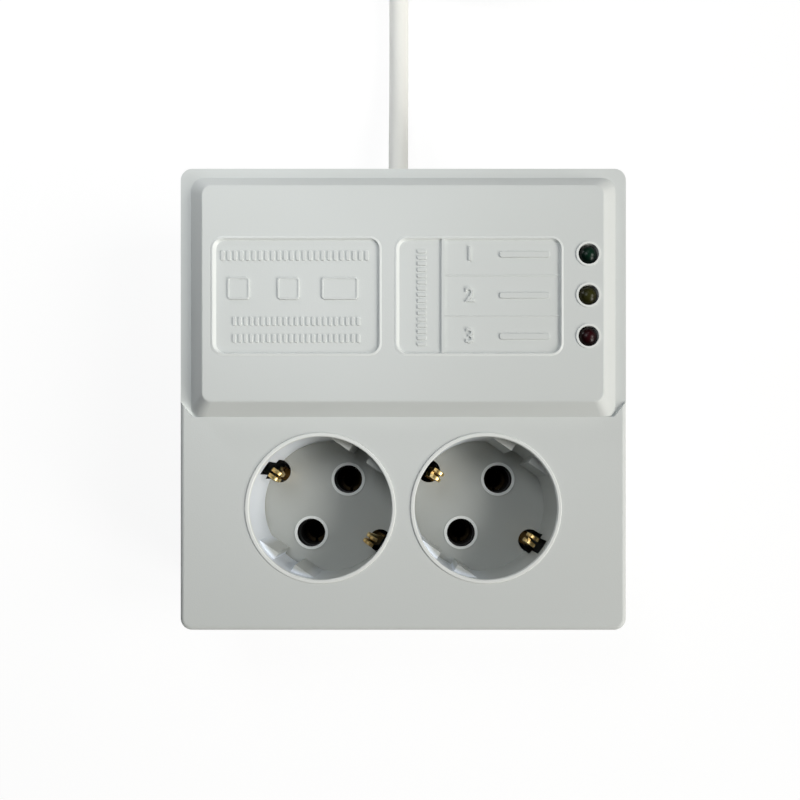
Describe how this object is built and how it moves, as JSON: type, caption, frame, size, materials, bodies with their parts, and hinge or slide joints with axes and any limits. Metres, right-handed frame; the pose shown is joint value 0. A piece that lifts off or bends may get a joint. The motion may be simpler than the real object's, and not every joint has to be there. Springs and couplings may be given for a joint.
{
  "type": "surge protector strip",
  "caption": "Square surge protector box with earthed round sockets, status lights, and a put-away mains lead that ends in an angled earthed plug.",
  "frame": {"origin": "under the middle of the case, on the surface that its back rests on", "axes": "+X to the right of the face, +Y up the face towards the mains lead, +Z out of the face"},
  "size_m": [0.1575, 0.2952, 0.047],
  "materials": {
    "case_plastic": "fine satin moulded plastic",
    "back_plastic": "fine textured moulded plastic",
    "screw_steel": "zinc plated",
    "cup_plastic": "smooth moulded plastic",
    "clip_brass": "stamped brass",
    "contact_brass": "spring brass",
    "black_plastic": "black heat-proof plastic",
    "board_laminate": "paper laminate",
    "lamination_steel": "varnished laminations",
    "winding_tape": "yellow winding tape",
    "relay_plastic": "blue moulded case",
    "fuse_glass": "glass tube with nickel caps",
    "contact_tin": "tinned brass",
    "varistor_coating": "blue epoxy dip",
    "film_box": "yellow moulded box",
    "can_sleeve": "dark shrink sleeve",
    "diode_epoxy": "black epoxy",
    "resistor_lacquer": "beige lacquer",
    "chip_epoxy": "black epoxy",
    "regulator_epoxy": "black epoxy with a tab",
    "green_lens": "dark green lens, unlit",
    "yellow_lens": "dark yellow lens, unlit",
    "red_lens": "dark red lens, unlit",
    "relief_rubber": "soft moulded grommet",
    "lead_sheath": "soft matt sheath",
    "tie_plastic": "dark flexible strap",
    "plug_plastic": "moulded plug",
    "pin_nickel": "nickel plated brass",
    "brown_wire": "brown insulation",
    "blue_wire": "blue insulation",
    "earth_wire_green": "green and yellow insulation"
  },
  "bodies": {
    "case": {"back_cover": "back_plastic", "board_screws": "screw_steel", "case_screws": "screw_steel", "circuit_board": "board_laminate", "clamp_screws": "screw_steel", "coil_tie": "tie_plastic", "contact_holders": "black_plastic", "controller_chip": "chip_epoxy", "earth_bracket_left": "clip_brass", "earth_bracket_right": "clip_brass", "earth_link_bar": "clip_brass", "earth_screws": "screw_steel", "earth_wire": "earth_wire_green", "electrolytic_capacitors": "can_sleeve", "film_capacitor": "film_box", "front_cover": "case_plastic", "fuse": "fuse_glass", "fuse_clips": "contact_tin", "lead_clamp": "back_plastic", "lead_inner_end": "lead_sheath", "light_spacers": "black_plastic", "live_bus_bar": "contact_brass", "live_contacts": "contact_brass", "live_wire": "brown_wire", "mains_lead": "lead_sheath", "mains_lead_coil": "lead_sheath", "mains_lead_tail": "lead_sheath", "neutral_bus_bar": "contact_brass", "neutral_contacts": "contact_brass", "neutral_link_wire": "blue_wire", "neutral_wire": "blue_wire", "plug_body": "plug_plastic", "plug_earth_contacts": "pin_nickel", "plug_pins": "pin_nickel", "rectifier_diodes": "diode_epoxy", "relay": "relay_plastic", "resistors": "resistor_lacquer", "socket_cup_left": "cup_plastic", "socket_cup_right": "cup_plastic", "status_light_green": "green_lens", "status_light_red": "red_lens", "status_light_yellow": "yellow_lens", "strain_relief": "relief_rubber", "switched_live_wire": "brown_wire", "transformer_coil": "winding_tape", "transformer_core": "lamination_steel", "varistors": "varistor_coating", "voltage_regulator": "regulator_epoxy"},
    "earth_clip_left_upper": {"earth_clip_left_upper": "clip_brass"},
    "earth_clip_left_lower": {"earth_clip_left_lower": "clip_brass"},
    "earth_clip_right_upper": {"earth_clip_right_upper": "clip_brass"},
    "earth_clip_right_lower": {"earth_clip_right_lower": "clip_brass"}
  },
  "joints": [
    {"name": "earth_clip_left_upper_spring", "type": "hinge", "parent": "case", "child": "earth_clip_left_upper", "pos_m": [-0.03672, -0.01868, 0.02165], "axis": [-0.5678, -0.8231, 0], "range_deg": [0, 9], "stiffness_Nm_per_rad": 1},
    {"name": "earth_clip_left_lower_spring", "type": "hinge", "parent": "case", "child": "earth_clip_left_lower", "pos_m": [-0.00708, -0.03912, 0.02165], "axis": [0.5678, 0.8231, 0], "range_deg": [0, 9], "stiffness_Nm_per_rad": 1},
    {"name": "earth_clip_right_upper_spring", "type": "hinge", "parent": "case", "child": "earth_clip_right_upper", "pos_m": [0.00708, -0.01868, 0.02165], "axis": [-0.5678, -0.8231, 0], "range_deg": [0, 9], "stiffness_Nm_per_rad": 1},
    {"name": "earth_clip_right_lower_spring", "type": "hinge", "parent": "case", "child": "earth_clip_right_lower", "pos_m": [0.03672, -0.03912, 0.02165], "axis": [0.5678, 0.8231, 0], "range_deg": [0, 9], "stiffness_Nm_per_rad": 1}
  ]
}
